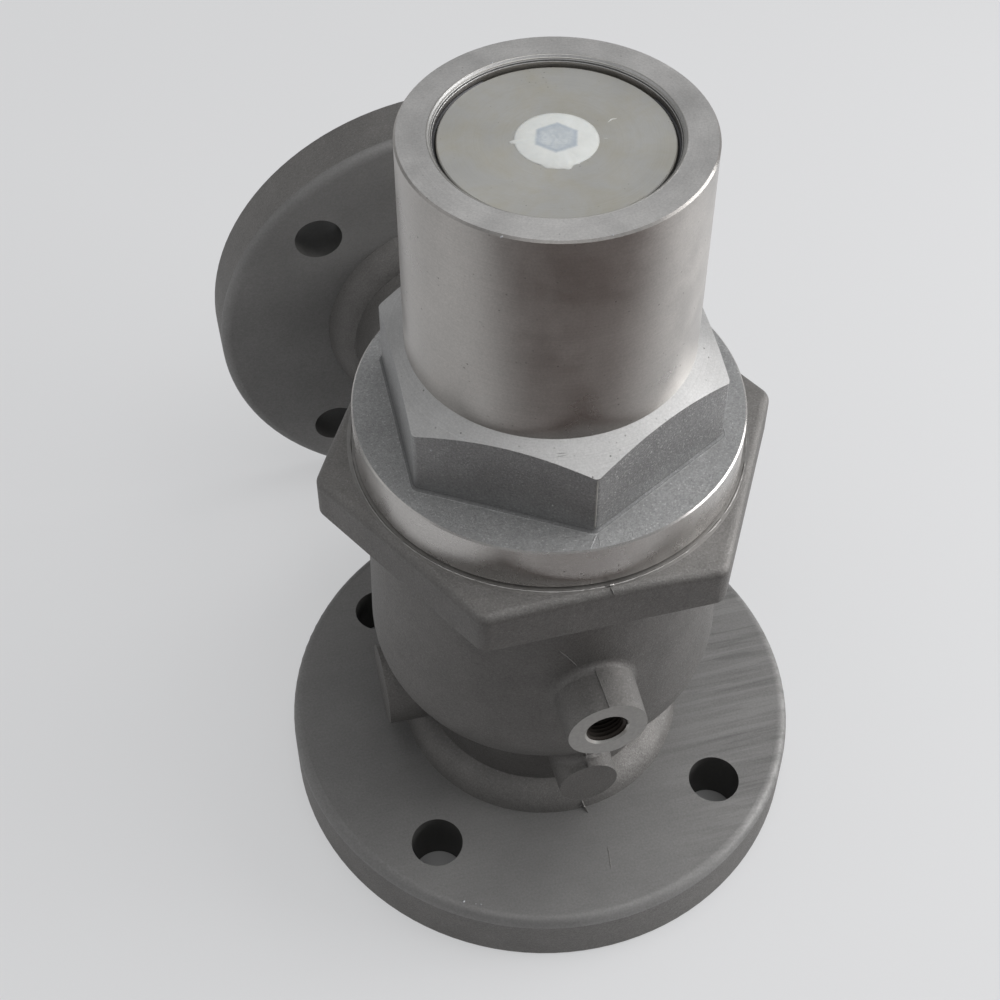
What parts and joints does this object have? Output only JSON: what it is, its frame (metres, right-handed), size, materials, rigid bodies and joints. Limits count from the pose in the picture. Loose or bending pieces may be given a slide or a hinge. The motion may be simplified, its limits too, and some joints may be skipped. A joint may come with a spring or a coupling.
{
  "type": "minimum pressure valve",
  "caption": "Right-angle minimum pressure valve for a screw compressor: cast body with inlet and outlet flanges, screwed bonnet and spring-loaded piston.",
  "frame": {"origin": "centre of the inlet flange's face, which the part stands on", "axes": "+Z along the valve axis towards the bonnet, +Y along the outlet bore towards the outlet flange"},
  "size_m": [0.185, 0.2475, 0.2905],
  "materials": {
    "body_casting": "as cast",
    "bonnet_casting": "turned",
    "cover_steel": "satin",
    "disc_steel": "turned",
    "zinc_steel": "zinc plated",
    "spring_steel": "oiled",
    "piston_alloy": "turned",
    "bush_bronze": "turned",
    "guide_plastic": "matte",
    "seal_rubber": "matte",
    "seal_plug": "translucent"
  },
  "bodies": {
    "housing": {"valve_body": "body_casting", "bonnet": "bonnet_casting", "bonnet_o_ring": "seal_rubber", "spring_cover": "cover_steel", "retaining_ring": "spring_steel", "sealing_plug": "seal_plug", "main_spring": "spring_steel"},
    "piston": {"piston": "piston_alloy", "piston_seal": "seal_rubber", "upper_guide_ring": "guide_plastic", "lower_guide_ring": "guide_plastic", "stem_bush": "bush_bronze", "check_spring": "spring_steel"},
    "check_disc": {"check_disc": "disc_steel", "seat_seal": "seal_rubber", "seal_plate": "disc_steel", "lock_washer": "zinc_steel", "seal_bolt": "zinc_steel", "stem_circlip": "spring_steel"},
    "spring_plate": {"spring_plate": "disc_steel"},
    "adjusting_screw": {"adjusting_screw": "zinc_steel"}
  },
  "joints": [
    {"name": "piston_lift", "type": "slide", "parent": "housing", "child": "piston", "axis": [0, 0, 1], "range_m": [0, 0.018], "stiffness_N_per_m": 21000, "springref_m": -0.069, "deforming": ["main_spring"]},
    {"name": "check_disc_lift", "type": "slide", "parent": "housing", "child": "check_disc", "axis": [0, 0, 1], "range_m": [0, 0.018]},
    {"name": "adjuster_travel", "type": "slide", "parent": "housing", "child": "spring_plate", "axis": [0, 0, 1], "range_m": [-0.0075, 0], "deforming": ["main_spring"]},
    {"name": "adjuster_turn", "type": "hinge", "parent": "spring_plate", "child": "adjusting_screw", "pos_m": [0, 0, 0.27], "axis": [0, 0, -1], "range_deg": [0, 1801]}
  ],
  "couplings": [
    {"joint": "check_disc_lift", "follows": "piston_lift", "ratio": 1},
    {"joint": "adjuster_turn", "follows": "adjuster_travel", "rad_per_m": -4188.8}
  ]
}
